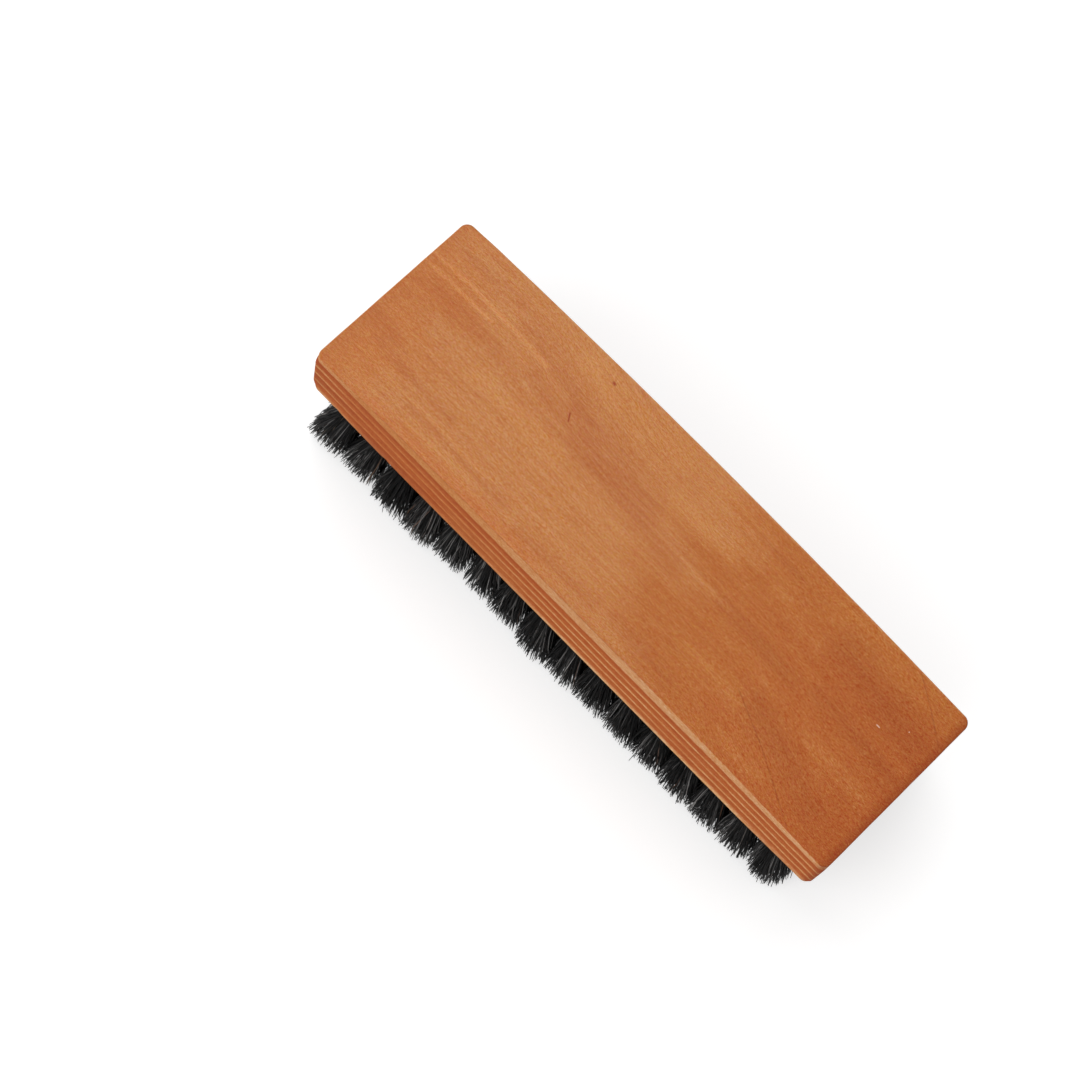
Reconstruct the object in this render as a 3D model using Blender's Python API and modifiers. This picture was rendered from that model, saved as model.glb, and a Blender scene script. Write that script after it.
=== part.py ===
"""A shoe polishing brush: tufts of black bristle set in an arched block of wood.

Metres, +Z up. The brush stands on its bristles, with its length along X and its width along Y.
The origin is under its middle, on the level of the trimmed bristle tips.
"""

import math

import bmesh
import bpy
from mathutils import Matrix, Vector

# Wooden block
BLOCK_LENGTH = 0.180
BLOCK_WIDTH = 0.0537
BLOCK_END_HEIGHT = 0.0245
BACK_RISE = 0.0040
BACK_ARC_STEPS = 24
CORNER_RADIUS = 0.0030
CORNER_STEPS = 4
EDGE_RADIUS = 0.0010
EDGE_STEPS = 2

# Grid of tuft holes in the underside
TUFT_COLUMNS = 16
TUFT_ROWS_EACH_SIDE = 3
END_MARGIN = 0.0128
SIDE_MARGIN = 0.0051
HOLE_DIAMETER = 0.0054
HOLE_SIDES = 7
HOLE_OPEN_DEPTH = 0.0006

# Bristles: five strands a tuft, one in the middle and one towards each corner
BRISTLE_LENGTH = 0.0265
TRIM_ALLOWANCE = 0.0005
STRAND_SIDES = 3
STRAND_ROOT_RADIUS = 0.0007
STRAND_TIP_RADIUS = 0.00155
STRAND_ROOT_OFFSET = 0.00105
STRAND_HOLD = 0.0010
TIP_CLEARANCE = 0.0006
END_LEAN = 0.0063
SIDE_LEAN = 0.0017

# Slices of the underside that carry one column of tufts each
SLICE_THICKNESS = 0.0032
SLICE_MARGIN = 0.0009
SEAT_GAP = 0.0003

# Colours (linear)
WOOD_COLOUR = (0.53, 0.235, 0.105, 1.0)
BRISTLE_COLOUR = (0.014, 0.013, 0.013, 1.0)

SMOOTH_ANGLE = math.radians(30)
SHARP_EDGE = math.radians(60)
FLAT_ANGLE = math.radians(0.05)
GOLDEN_ANGLE = math.pi * (3 - math.sqrt(5))
WELD = 0.00001

COLUMN_PITCH = (BLOCK_LENGTH - 2 * END_MARGIN) / (TUFT_COLUMNS - 1)
ROW_PITCH = (BLOCK_WIDTH - 2 * SIDE_MARGIN) / (2 * TUFT_ROWS_EACH_SIDE - 1)
END_COLUMN_X = BLOCK_LENGTH / 2 - END_MARGIN
OUTER_ROW_Y = BLOCK_WIDTH / 2 - SIDE_MARGIN
SLICE_LENGTH = 2 * (OUTER_ROW_Y + HOLE_DIAMETER / 2 + SLICE_MARGIN)
SLICE_WIDTH = COLUMN_PITCH - SEAT_GAP


def empty_scene():
    """Remove whatever the file holds, so that every run starts the same."""
    for thing in list(bpy.data.objects):
        bpy.data.objects.remove(thing, do_unlink=True)


def new_collection(name):
    group = bpy.data.collections.new(name)
    bpy.context.scene.collection.children.link(group)
    return group


def new_material(name, colour, roughness):
    material = bpy.data.materials.new(name)
    material.use_nodes = True
    shader = material.node_tree.nodes["Principled BSDF"]
    shader.inputs["Base Color"].default_value = colour
    shader.inputs["Roughness"].default_value = roughness
    shader.inputs["Metallic"].default_value = 0.0
    return material


def object_from(bm, name, group, material=None):
    """A mesh object made from bm, which is freed."""
    bmesh.ops.recalc_face_normals(bm, faces=bm.faces)
    mesh = bpy.data.meshes.new(name)
    bm.to_mesh(mesh)
    bm.free()
    thing = bpy.data.objects.new(name, mesh)
    group.objects.link(thing)
    if material:
        mesh.materials.append(material)
    return thing


def as_cutter(thing):
    thing.hide_render = True
    thing.display_type = "WIRE"
    return thing


def add_boolean(thing, operation, other):
    modifier = thing.modifiers.new(operation.lower(), "BOOLEAN")
    modifier.operation = operation
    modifier.object = other


def box(bm, size, centre):
    """A box of this size in bm, from a cube."""
    place = Matrix.Translation(centre) @ Matrix.Diagonal((*size, 1.0))
    bmesh.ops.create_cube(bm, size=1.0, matrix=place)


def back_height(x):
    """Height of the arched back above the underside, on one arc from end to end."""
    half = BLOCK_LENGTH / 2
    radius = (half**2 + BACK_RISE**2) / (2 * BACK_RISE)
    return BLOCK_END_HEIGHT + math.sqrt(radius**2 - x**2) - (radius - BACK_RISE)


def side_profile():
    """Outline of the block's long side: flat below, arched above."""
    half = BLOCK_LENGTH / 2
    outline = [(-half, 0.0), (half, 0.0)]
    for step in range(BACK_ARC_STEPS + 1):
        x = half - BLOCK_LENGTH * step / BACK_ARC_STEPS
        outline.append((x, back_height(x)))
    return outline


def extruded_profile(name, outline, thickness):
    """A mesh of the outline, standing in the XZ plane and as thick as this along Y."""
    curve = bpy.data.curves.new(name, "CURVE")
    curve.dimensions = "2D"
    curve.fill_mode = "BOTH"
    curve.extrude = thickness / 2
    spline = curve.splines.new("POLY")
    spline.points.add(len(outline) - 1)
    for point, (x, z) in zip(spline.points, outline):
        point.co = (x, z, 0.0, 1.0)
    spline.use_cyclic_u = True
    drawn = bpy.data.objects.new(name, curve)
    bpy.context.scene.collection.objects.link(drawn)
    seen = drawn.evaluated_get(bpy.context.evaluated_depsgraph_get())
    mesh = bpy.data.meshes.new_from_object(seen)
    bm = bmesh.new()
    bm.from_mesh(mesh)
    bpy.data.objects.remove(drawn, do_unlink=True)
    bpy.data.meshes.remove(mesh)
    bmesh.ops.remove_doubles(bm, verts=bm.verts, dist=WELD)
    bmesh.ops.dissolve_limit(bm, angle_limit=FLAT_ANGLE, verts=bm.verts, edges=bm.edges)
    bmesh.ops.rotate(bm, verts=bm.verts, cent=(0, 0, 0), matrix=Matrix.Rotation(math.pi / 2, 3, "X"))
    return bm


def mark_upright_corners(bm):
    """Give the four upright corner edges the bevel weight that rounds the plan."""
    weight = bm.edges.layers.float.new("bevel_weight_edge")
    for edge in bm.edges:
        run = edge.verts[1].co - edge.verts[0].co
        edge[weight] = 1.0 if abs(run.z) > BLOCK_END_HEIGHT / 2 else 0.0


def make_block(group, cutters, material):
    """The wooden block: arched back, rounded plan corners, eased edges, a bed for the slices."""
    bm = extruded_profile("block_profile", side_profile(), BLOCK_WIDTH)
    mark_upright_corners(bm)
    block = object_from(bm, "block", group, material)
    block.location.z = BRISTLE_LENGTH

    corners = block.modifiers.new("plan_corners", "BEVEL")
    corners.limit_method = "WEIGHT"
    corners.width = CORNER_RADIUS
    corners.segments = CORNER_STEPS
    corners.use_clamp_overlap = False

    edges = block.modifiers.new("eased_edges", "BEVEL")
    edges.limit_method = "ANGLE"
    edges.angle_limit = SHARP_EDGE
    edges.width = EDGE_RADIUS
    edges.segments = EDGE_STEPS
    edges.use_clamp_overlap = False

    bed = bmesh.new()
    bed_length = TUFT_COLUMNS * COLUMN_PITCH + SEAT_GAP
    bed_width = SLICE_LENGTH + 2 * SEAT_GAP
    bed_depth = SLICE_THICKNESS + SEAT_GAP
    box(bed, (bed_length, bed_width, 2 * bed_depth), (0, 0, BRISTLE_LENGTH))
    add_boolean(block, "DIFFERENCE", as_cutter(object_from(bed, "slice_bed", cutters)))

    block.data.shade_smooth()
    block.data.set_sharp_from_angle(angle=SMOOTH_ANGLE)
    return block


def leaned(position, outermost, lean):
    """Where a tuft's middle ends at the tips: the outer tufts lean out, the inner ones hardly."""
    return position + lean * (position / outermost) ** 3


def add_hole(bm, x, y):
    """The cutter for one tuft hole, from below the underside to the depth left open round the tuft."""
    turn = math.copysign(math.pi / 2, y)
    bmesh.ops.create_cone(
        bm,
        cap_ends=True,
        segments=HOLE_SIDES,
        radius1=HOLE_DIAMETER / 2,
        radius2=HOLE_DIAMETER / 2,
        depth=2 * HOLE_OPEN_DEPTH,
        matrix=Matrix.Translation((x, y, BRISTLE_LENGTH)) @ Matrix.Rotation(turn, 4, "Z"),
    )


def add_strand(bm, root, tip, turn):
    """One tapered strand, held a little way into the wood and reaching past the trimmed level."""
    held = root - STRAND_HOLD * (tip - root).normalized()
    run = tip - held
    place = Matrix.Translation((held + tip) / 2) @ run.to_track_quat("Z", "Y").to_matrix().to_4x4()
    bmesh.ops.create_cone(
        bm,
        cap_ends=True,
        segments=STRAND_SIDES,
        radius1=STRAND_ROOT_RADIUS,
        radius2=STRAND_TIP_RADIUS,
        depth=run.length,
        matrix=place @ Matrix.Rotation(turn, 4, "Z"),
    )


def add_tuft(bm, x, y, side, number):
    """The strands of one tuft. They leave the hole close together and fan out to their neighbours."""
    tip_x = leaned(x, END_COLUMN_X, END_LEAN)
    tip_y = leaned(y, OUTER_ROW_Y, SIDE_LEAN)
    tip_offset_x = (COLUMN_PITCH - TIP_CLEARANCE) / 2 - STRAND_TIP_RADIUS
    tip_offset_y = (ROW_PITCH - TIP_CLEARANCE) / 2 - STRAND_TIP_RADIUS
    places = [(0, 0), (-1, -1), (1, -1), (-1, 1), (1, 1)]
    for index, (across, along) in enumerate(places):
        root = Vector((
            x + across * STRAND_ROOT_OFFSET,
            side * (y + along * STRAND_ROOT_OFFSET),
            BRISTLE_LENGTH + HOLE_OPEN_DEPTH,
        ))
        tip = Vector((
            tip_x + across * tip_offset_x,
            side * (tip_y + along * tip_offset_y),
            -TRIM_ALLOWANCE,
        ))
        turn = GOLDEN_ANGLE * (number * len(places) + index)
        add_strand(bm, root, tip, side * turn)


def trim_level(bm):
    """Cut every strand off level where the brush stands."""
    everything = bm.verts[:] + bm.edges[:] + bm.faces[:]
    bmesh.ops.bisect_plane(
        bm, geom=everything, dist=WELD / 10, plane_co=(0, 0, 0), plane_no=(0, 0, -1), clear_outer=True
    )
    rims = [edge for edge in bm.edges if edge.is_boundary]
    bmesh.ops.holes_fill(bm, edges=rims)


def make_bristle_row(column, group, cutters, material):
    """A slice of the underside across the brush, with its drilled holes and its tufts."""
    name = f"bristle_row_{column + 1:02d}"
    x = -END_COLUMN_X + column * COLUMN_PITCH
    slice_bm = bmesh.new()
    box(
        slice_bm,
        (SLICE_WIDTH, SLICE_LENGTH, SLICE_THICKNESS),
        (x, 0, BRISTLE_LENGTH + SLICE_THICKNESS / 2),
    )
    row = object_from(slice_bm, name, group, material)

    holes = bmesh.new()
    strands = bmesh.new()
    for step in range(TUFT_ROWS_EACH_SIDE):
        y = ROW_PITCH * (step + 0.5)
        for side in (-1, 1):
            add_hole(holes, x, side * y)
            add_tuft(strands, x, y, side, column * TUFT_ROWS_EACH_SIDE + step)
    trim_level(strands)
    add_boolean(row, "DIFFERENCE", as_cutter(object_from(holes, name + "_holes", cutters)))
    add_boolean(row, "UNION", as_cutter(object_from(strands, name + "_strands", cutters)))
    return row


def main():
    empty_scene()
    group = new_collection("shoe_polishing_brush")
    cutters = new_collection("cutters")
    wood = new_material("wood", WOOD_COLOUR, 0.45)
    bristle = new_material("black_bristle", BRISTLE_COLOUR, 0.5)
    make_block(group, cutters, wood)
    for column in range(TUFT_COLUMNS):
        make_bristle_row(column, group, cutters, bristle)


main()
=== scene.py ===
"""The shoe polishing brush as it looks: a block of oiled wood set with tufts of black hair.

Metres, +Z up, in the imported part's own frame: the brush stands on its bristles, with its length
along X and its width along Y. Wood and hair are worked out in millimetres and scaled at the end.
"""

import math

import bmesh
import bpy
import numpy as np
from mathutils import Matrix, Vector


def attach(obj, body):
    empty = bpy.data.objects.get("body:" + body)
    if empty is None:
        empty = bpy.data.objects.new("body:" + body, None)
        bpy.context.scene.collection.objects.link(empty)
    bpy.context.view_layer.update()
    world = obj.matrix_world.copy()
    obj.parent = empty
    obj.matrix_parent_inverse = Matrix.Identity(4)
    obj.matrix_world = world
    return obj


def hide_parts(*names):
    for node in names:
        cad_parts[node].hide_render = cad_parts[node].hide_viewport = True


MM = 0.001

# Wooden block, in millimetres
BLOCK_LENGTH = 180.0
BLOCK_WIDTH = 53.7
BLOCK_END_HEIGHT = 24.5
BACK_RISE = 4.0
CORNER_RADIUS = 1.0
CORNER_ROUNDING = 2.4
ROUNDING_DEPTH = 5.0
CORNER_STEPS = 10
UPPER_EDGE_RADIUS = 0.5
UPPER_END_RADIUS = 1.1
UPPER_EDGE_GROWS = (78.0, 88.0)
LOWER_EDGE_RADIUS = 0.2
LOWER_END_RADII = (1.1, 1.5)
LOWER_EDGE_GROWS = (62.0, 85.0)
EDGE_STEPS = 5
UNDERSIDE = 26.5
LENGTH_STEPS = 240
WIDTH_STEPS = 72
WALL_STEPS = 24
SHARP_ANGLE = 35

# Wear of the block's edges, in millimetres: how far they waver, in waves given by their share, their
# radians a millimetre along X and Y and their phase, and nicks in the lower edge by place along X and side
EDGE_WAVER = 0.05
EDGE_WAVES = [(1.0, 0.21, 0.4, 0.0), (0.6, 0.53, 0.0, 1.7), (0.5, 0.05, 0.9, 0.0)]
WEAR_POWER = 6
NICK_DEPTH = 0.16
NICK_REACH = 0.9
NICK_HEIGHT = 0.08
NICKS = [(-62.5, -1), (-80.5, -1), (24.0, 1)]

# Tuft holes, in millimetres
TUFT_COLUMNS = 16
TUFT_ROWS = 6
COLUMN_PITCH = 10.2933
ROW_PITCH = 8.7
HOLE_RADIUS = 2.7
HOLE_DEPTH = 6.0
HOLE_SIDES = 40
HOLE_RIM = 0.25
DRILL_POINT = (0.3, 1.2)
DRILL_OVERSHOOT = 0.5

# Hairs of a tuft, with lengths in millimetres
HAIRS_IN_TUFT = 700
MOUTH_RADIUS = 2.42
HAIR_HOLD = 1.6
HAIR_RADIUS = 0.13
HAIR_SIDES = 3
HAIR_STATIONS = (0.0, 0.25, 0.5, 0.75, 1.0)
HAIR_TAPER = (0.75, 0.85, 1.0, 1.0, 0.75)
TIP_REACH_X = 5.9
TIP_REACH_Y = 5.4
TIP_REACH_RANGE = (0.96, 1.08)
TIP_SCATTER = 0.42
TIP_SQUARENESS = 6.0
CORNER_SQUARENESS = 2.0
TIP_DOME = 0.7
TRIM_SCATTER = 0.63
FAN_EARLY = 0.2
HAIR_BEND = 0.44
HAIR_WAVE = 0.2
STRAY_SHARE = 0.02
STRAY_BEND = 1.2
STRAY_REACH = 0.8
SHORT_SHARE = 0.06
SHORT_LOSS = 5.0
SEED = 11

# Locks, in which hairs stick together and share some of their tone, in millimetres
LOCKS_IN_TUFT = 240
LOCK_SCATTER = 0.25
LOCK_TRIM_SCATTER = 0.25
LOCK_PULL = (0.105, 0.35)

# How the tufts lean, in millimetres at their tips; the near side has a lean of its own, by place along X
# and by column, which comes in over this stretch of the half-width; and how each tuft strays from it
END_LEAN = 4.6
END_LEAN_POWER = 2
SIDE_LEAN = 2.3
SIDE_LEAN_POWER = 3
NEAR_LEAN_PLACES = (-77, -67, -56, -30, 0, 40, 77)
NEAR_LEAN = (-4.6, -3.2, -1.6, 0.2, 1.0, 2.4, 2.2)
NEAR_SIDE_LEAN = (2.6, 2.4, 2.9, 3.0, 1.3, 1.3, 1.6, 3.0, 2.2, 2.2, 1.9, 1.5, 2.0, 1.4, 1.7, 1.2)
NEAR_REACH = (-0.2, 1.0)
TUFT_LEAN = (0.3, 0.2)

# A hair's tone from 0 to 1: the spreads of its lock's and its own part, and the few brown and light ones;
# the higher, greyer tones partly stand for painted glints along the strands
LOCK_TONES = (0.65, 1.35)
LOCK_SHARE = 0.6
OWN_TONES = (0.5, 1.3)
GREYEST = 0.9
BROWN_SHARE = 0.006
BROWN_TONES = (0.91, 0.95)
LIGHT_SHARE = 0.004

# The photograph's camera
CAMERA_PLACE = (0.06821, -0.21460, 0.76990)
CAMERA_TURN = (15.2677, -6.3213, 45.3218)
CAMERA_LENS = 100.174
CAMERA_SENSOR = 36.0
CAMERA_CLIP = (0.01, 50.0)

# Studio: a pale floor that looks brighter to the camera, even light, and soft suns by name, the direction
# they shine from, strength and spread in degrees
FLOOR_SIZE = 6.0
FLOOR_STEPS = 8
FLOOR_TONE = (0.6, 0.6, 0.6, 1.0)
FLOOR_ROUGHNESS = 0.9
FLOOR_GLOW = 0.55
EVEN_LIGHT = 0.5
BACKGROUND_LIGHT = 1.0
WHITE = (1.0, 1.0, 1.0, 1.0)
SUNS = [("key_light", (-0.45, 0.28, 0.85), 1.0, 50), ("side_light", (-0.25, -0.75, 0.6), 1.1, 60)]


def smooth_step(low, high, value):
    share = np.clip((value - low) / (high - low), 0.0, 1.0)
    return share * share * (3.0 - 2.0 * share)


class Surface:
    """A new material and short ways to add nodes to it. Places are in millimetres."""

    def __init__(self, name):
        self.material = bpy.data.materials.new(name)
        self.material.use_nodes = True
        self.tree = self.material.node_tree
        self.shader = self.tree.nodes["Principled BSDF"]

    def add(self, kind, **settings):
        made = self.tree.nodes.new(kind)
        for name, value in settings.items():
            setattr(made, name, value)
        return made

    def feed(self, socket, value):
        if isinstance(value, bpy.types.NodeSocket):
            self.tree.links.new(value, socket)
        else:
            socket.default_value = value

    def math(self, operation, a, b=0.0, c=0.0, clamp=False):
        made = self.add("ShaderNodeMath", operation=operation, use_clamp=clamp)
        for socket, value in zip(made.inputs, (a, b, c)):
            self.feed(socket, value)
        return made.outputs[0]

    def vector(self, operation, a, b=(0.0, 0.0, 0.0), c=(0.0, 0.0, 0.0)):
        made = self.add("ShaderNodeVectorMath", operation=operation)
        for socket, value in zip(made.inputs, (a, b, c)):
            self.feed(socket, value)
        return made.outputs["Value" if operation in ("DISTANCE", "LENGTH", "DOT_PRODUCT") else "Vector"]

    def parts(self, vector):
        made = self.add("ShaderNodeSeparateXYZ")
        self.feed(made.inputs[0], vector)
        return made.outputs

    def joined(self, x, y, z):
        made = self.add("ShaderNodeCombineXYZ")
        for socket, value in zip(made.inputs, (x, y, z)):
            self.feed(socket, value)
        return made.outputs[0]

    def noise(self, place, scale, detail=2.0, roughness=0.5, output="Fac"):
        """Noise of this many waves a millimetre along each axis; its output "Color" is three at once."""
        made = self.add("ShaderNodeTexNoise")
        made.inputs["Scale"].default_value = 1.0
        made.inputs["Detail"].default_value = detail
        made.inputs["Roughness"].default_value = roughness
        self.feed(made.inputs["Vector"], self.vector("MULTIPLY", place, scale))
        return made.outputs[output]

    def band(self, value, low, high, to_low=0.0, to_high=1.0):
        """to_low below low, to_high above high, and a smooth step between."""
        made = self.add("ShaderNodeMapRange", interpolation_type="SMOOTHSTEP")
        for socket, number in zip(made.inputs, (value, low, high, to_low, to_high)):
            self.feed(socket, number)
        return made.outputs[0]

    def stretch(self, value, rise, fall):
        """1 between two steps, up over rise and down over fall; with no rise, 1 all the way below."""
        down = self.band(value, *fall, 1.0, 0.0)
        return down if rise is None else self.math("MULTIPLY", self.band(value, *rise), down)

    def mix(self, share, a, b):
        made = self.add("ShaderNodeMix", data_type="RGBA")
        self.feed(made.inputs["Factor"], share)
        self.feed(made.inputs[6], a)
        self.feed(made.inputs[7], b)
        return made.outputs[2]

    def ramp(self, value, stops, interpolation="LINEAR"):
        made = self.add("ShaderNodeValToRGB")
        made.color_ramp.interpolation = interpolation
        elements = made.color_ramp.elements
        while len(elements) < len(stops):
            elements.new(0.5)
        for element, (position, colour) in zip(elements, stops):
            element.position = position
            element.color = colour
        self.feed(made.inputs[0], value)
        return made.outputs[0]

    def bump(self, relief, strength, height):
        """Relief of this height in millimetres."""
        made = self.add("ShaderNodeBump")
        made.inputs["Strength"].default_value = strength
        made.inputs["Distance"].default_value = height * MM
        self.feed(made.inputs["Height"], relief)
        self.feed(self.shader.inputs["Normal"], made.outputs[0])

    def stroke(self, place, start, end, width):
        """1 on the line from start to end on the back, falling to 0 at this distance from it."""
        sx, sy = start
        run = Vector((end[0] - sx, end[1] - sy, 0.0))
        offset = self.vector("SUBTRACT", self.vector("MULTIPLY", place, (1, 1, 0)), (sx, sy, 0.0))
        reached = self.vector("DOT_PRODUCT", offset, run)
        share = self.math("DIVIDE", reached, run.length_squared, clamp=True)
        nearest = self.add("ShaderNodeVectorMath", operation="SCALE")
        nearest.inputs[0].default_value = run
        self.feed(nearest.inputs["Scale"], share)
        away = self.vector("LENGTH", self.vector("SUBTRACT", offset, nearest.outputs["Vector"]))
        return self.band(away, 0.0, width, 1.0, 0.0)


def linear(red, green, blue):
    """A colour given as the 0 to 255 values that a screen shows."""
    def one(value):
        value /= 255.0
        return value / 12.92 if value <= 0.04045 else ((value + 0.055) / 1.055) ** 2.4
    return (one(red), one(green), one(blue), 1.0)


# Tones of the wood
BACK_END = linear(187, 112, 54)
# Pale tone of the back towards -X, partly the wood's own and partly painted sheen
BACK_PALE_AND_SHEEN = linear(190, 122, 67)
BACK_MIDDLE = linear(179, 103, 46)
BACK_DEEP = linear(176, 95, 40)
BACK_DEEPEST = linear(170, 87, 34)
BACK_FAR = linear(188, 118, 54)
BACK_DARK = linear(154, 58, 14)
BACK_DARKER = linear(132, 52, 16)
BACK_GLOW = linear(214, 150, 82)
STREAK_PALE = linear(212, 144, 84)
SIDE_DARK = linear(182, 84, 25)
SIDE_DARK_DULL = linear(176, 78, 21)
SIDE_MIDDLE = linear(190, 97, 38)
SIDE_LINE_PALE = linear(220, 159, 99)
SIDE_LINE_DULL = linear(200, 121, 60)
# Pale top layer of the sides: partly pale wood, partly painted highlight on the eased upper edge; also the
# far rim's painted highlight and the scratches' tone
SIDE_PALE_AND_HIGHLIGHT = linear(219, 159, 107)
SIDE_PALE_AND_HIGHLIGHT_DULL = linear(206, 133, 71)
# Painted highlight along the sides' lower edge, where the rings are clear and where they are dull
SIDE_LOWER_HIGHLIGHT = linear(232, 176, 120)
SIDE_LOWER_HIGHLIGHT_DULL = linear(205, 126, 68)
SIDE_SHADE = linear(150, 58, 16)
END_TONE = linear(136, 52, 10)
FLECK_TONE = linear(160, 70, 30)
KNOT_TONE = linear(146, 44, 4)
PORE_TONE = linear(236, 172, 104)
SPECK_TONE = linear(240, 215, 195)

# Tones along the back, by share of the length: paler towards -X, partly the wood's own tone and partly
# painted sheen and light
BACK_TONE_AND_SHEEN_STOPS = [
    (0.0, BACK_END),
    (0.14, BACK_PALE_AND_SHEEN),
    (0.5, BACK_PALE_AND_SHEEN),
    (0.64, BACK_MIDDLE),
    (0.85, BACK_DEEP),
    (1.0, BACK_DEEPEST),
]

# Grain, from wide bands to single fibres: waves a millimetre along X, Y and Z, detail and roughness
DRIFT_GRAIN = ((0.02, 0.09, 0.09), 3.0, 0.55)
WIDE_GRAIN = ((0.02, 0.1, 0.1), 2.0, 0.6)
STREAK_GRAIN = ((0.03, 0.8, 0.4), 3.0, 0.6)
STRAND_GRAIN = ((0.16, 1.7, 0.7), 2.0, 0.6)
FINE_GRAIN = ((1.15, 3.5, 2.2), 3.0, 0.9)
TINT_GRAIN = ((1.0, 2.8, 2.0), 2.0, 0.8)
FLECK_GRAIN = ((0.32, 3.3, 2.0), 2.0, 0.6)
MOTTLE_GRAIN = ((0.6, 0.6, 0.8), 5.0, 0.8)
FEATHER_GRAIN = ((0.03, 0.6, 0.6), 3.0, 0.6)
BROKEN_GRAIN = ((0.05, 1.4, 1.4), 2.0, 0.6)
FAINT_GRAIN = ((0.05, 0.1, 0.2), 1.0)
PORE_GRAIN = ((2.6, 2.6, 2.6), 0.0)

# How strongly each grain swings the tone, and how much each of red, green and blue swings
WIDE = 0.12
STREAK = 0.22
STRAND = 0.24
MOTTLE = 0.72
FINE = 1.5
SWING = (0.3, 1.0, 2.1)
SIDE_SWING = (0.43, 1.0, 1.8)
WIDE_SWING = (0.45, 1.0, 1.6)
LEAST_SWING = 0.05
SIDE_COARSENESS = 0.8
TINT_SHARE = 0.26
TINT_LOSS_ON_SIDE = 0.2

# How the grain changes towards the darker end: from where to where along X, from how much to how much
WIDE_CHANGE = (10.0, 60.0, 1.0, 1.5)
STREAK_CHANGE = (10.0, 50.0, 1.0, 0.7)
STRAND_CHANGE = (10.0, 50.0, 1.0, 1.2)
FINE_CHANGE = (10.0, 65.0, 1.0, 1.7)
PORE_CHANGE = (15.0, 60.0, 0.2, 1.0)
DARKER_SHADES = (10.0, 60.0)

# Dark flecks and pale pores: from and to which value of their grain they come in, and how strong they are
FLECK_STEP = (0.54, 0.72)
FLECK_DEPTH = 0.32
PORE_STEP = (0.72, 0.82, 0.0, 0.2)

# How far the figure of the back turns aside from the length, in millimetres: along X, and over which
# stretch of the width it does so for the wide figure and, more gently, for the fibres
FIGURE_DIP = 10.0
FIGURE_CURL = 8.0
DIP_REACH = (-64.0, -2.0)
CURL_REACH = (36.0, 84.0)
FIGURE_TURNS = ((-2.0, 12.0), (-20.0, 4.0))
FIBRE_TURNS = ((-18.0, 26.0), (-26.0, 22.0))

# Growth rings on the sides: a painted highlight along the lower edge, heights of the pale lines above the
# underside, in millimetres, how the rings bend across and along the block, and how they waver
LOWER_HIGHLIGHT_LINE = 0.9
LOWER_HIGHLIGHT_FADE = 2.5
RING_LINES = (6.95, 12.05, 17.05)
RING_TOP = 21.6
RING_SCALE = 30.0
RING_RADIUS = 90.0
RING_SAG = 0.85
RING_TILT = 0.0019
RING_WAVER = 1.2
RING_WAVER_WAVES = (0.02, 0.03, 0.03)
RING_JITTER = 0.7
RING_JITTER_WAVES = (0.22, 0.4, 0.4)
RING_OPENING = (50.0, 80.0, 0.0, 0.06)

# Tones across each pale line, by height from its middle, and below the pale layer at the top, which is
# partly pale wood and partly a painted highlight on the eased upper edge; the edge tones are a painted
# highlight along the lower edge
LINE_PROFILE = ((-1.7, "dark"), (-0.75, "dark"), (-0.25, "line"), (0.3, "line"), (1.0, "middle"))
TOP_PROFILE = ((-1.4, "dark"), (-0.25, "dark"), (0.35, "pale"))
CLEAR_RINGS = {
    "dark": SIDE_DARK,
    "middle": SIDE_MIDDLE,
    "line": SIDE_LINE_PALE,
    "pale": SIDE_PALE_AND_HIGHLIGHT,
    "edge": SIDE_LOWER_HIGHLIGHT,
}
DULL_RINGS = {
    "dark": SIDE_DARK_DULL,
    "middle": SIDE_MIDDLE,
    "line": SIDE_LINE_DULL,
    "pale": SIDE_PALE_AND_HIGHLIGHT_DULL,
    "edge": SIDE_LOWER_HIGHLIGHT_DULL,
}

# Where the rings are clear along X, and where the grain makes them faint
CLEAR_RIGHT = (-45.0, 15.0)
CLEAR_LEFT = (-86.0, -72.0, 0.6, 0.0)
FAINT_STEP = (0.48, 0.75, 0.0, 0.5)

# Parts of the sides that are off their tone, in millimetres: where each begins and ends along X, and up
# the side, how strong it is, and its tone
SIDE_PATCHES = [
    ((-78.0, -66.0), (-52.0, -42.0), None, (5.0, 7.0), 0.4, SIDE_SHADE),
    (None, (-80.0, -68.0), (6.0, 7.5), (10.5, 12.0), 0.3, SIDE_SHADE),
    ((-46.0, -36.0), (-20.0, -6.0), None, (10.5, 12.0), 0.3, SIDE_LINE_DULL),
]

# Where the tone changes along the back's rims and towards the ends, in millimetres, and how strongly: a
# painted highlight on the far rim's eased edge, partly wear, and painted shade just inside the near rim
SIDE_BEGINS = (0.25, 0.8)
NEAR_RIM = (0.02, 0.2)
NEAR_RIM_RIGHT = (5.0, 35.0)
NEAR_RIM_LEFT = (-88.0, -60.0, 0.8, 0.0)
RIGHT_END = (86.8, 89.8, 0.0, 0.6)
LEFT_END = (-89.5, -84.0, 0.1, 0.0)
FAR_PART = (12.0, 25.0, 0.0, 0.4)
FAR_PART_BEGINS = (30.0, 55.0)
FAR_RIM_HIGHLIGHT = (0.8, 0.2, 0.4)
NEAR_EDGE_SHADE = (0.5, 1.0, 0.12)
REDDER_RISE = (-82.0, -70.0)
REDDER_FALL = (-24.0, 0.0)
REDDER_DEPTH = (1.5, 5.0)
REDDER_SHARE = 0.3

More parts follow.
